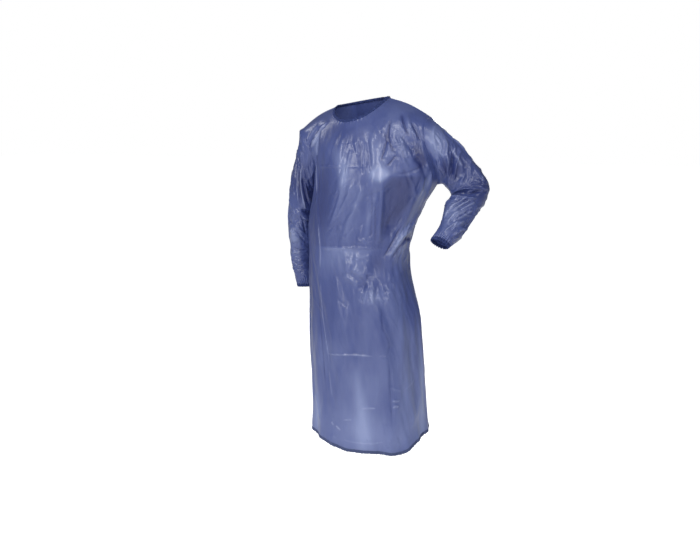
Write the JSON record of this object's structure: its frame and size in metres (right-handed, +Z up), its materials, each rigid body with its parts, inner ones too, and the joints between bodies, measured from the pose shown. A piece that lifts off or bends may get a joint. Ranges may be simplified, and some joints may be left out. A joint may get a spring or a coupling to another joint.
{
  "type": "sleeved chemical apron",
  "caption": "Full-length splash apron of thin translucent blue film with long set-in sleeves, dark elastic edging at neck and cuffs, a wavy hem and an open back tied at the waist.",
  "frame": {"origin": "the middle of the shoulders, level with the sides of the neck opening, where the wearer carries the garment", "axes": "+Z up, -Y the way the front faces, +X to the garment's own left"},
  "size_m": [0.7562, 0.3332, 1.2563],
  "materials": {
    "film": "thin blue-violet polyethylene film, satin, a little see-through, finely crinkled",
    "edging": "dark blue elastic serged edging",
    "tape": "folded strips of the same film"
  },
  "bodies": {
    "root": {"front_panel": "film", "back_panel_left": "film", "back_panel_right": "film", "sleeve_left": "film", "sleeve_right": "film", "neck_edging": "edging", "cuff_edging_left": "edging", "cuff_edging_right": "edging", "hem_edging": "edging", "tie_left": "tape", "tie_right": "tape", "tie_knot": "tape", "tie_end_left": "tape", "tie_end_right": "tape"}
  },
  "joints": []
}
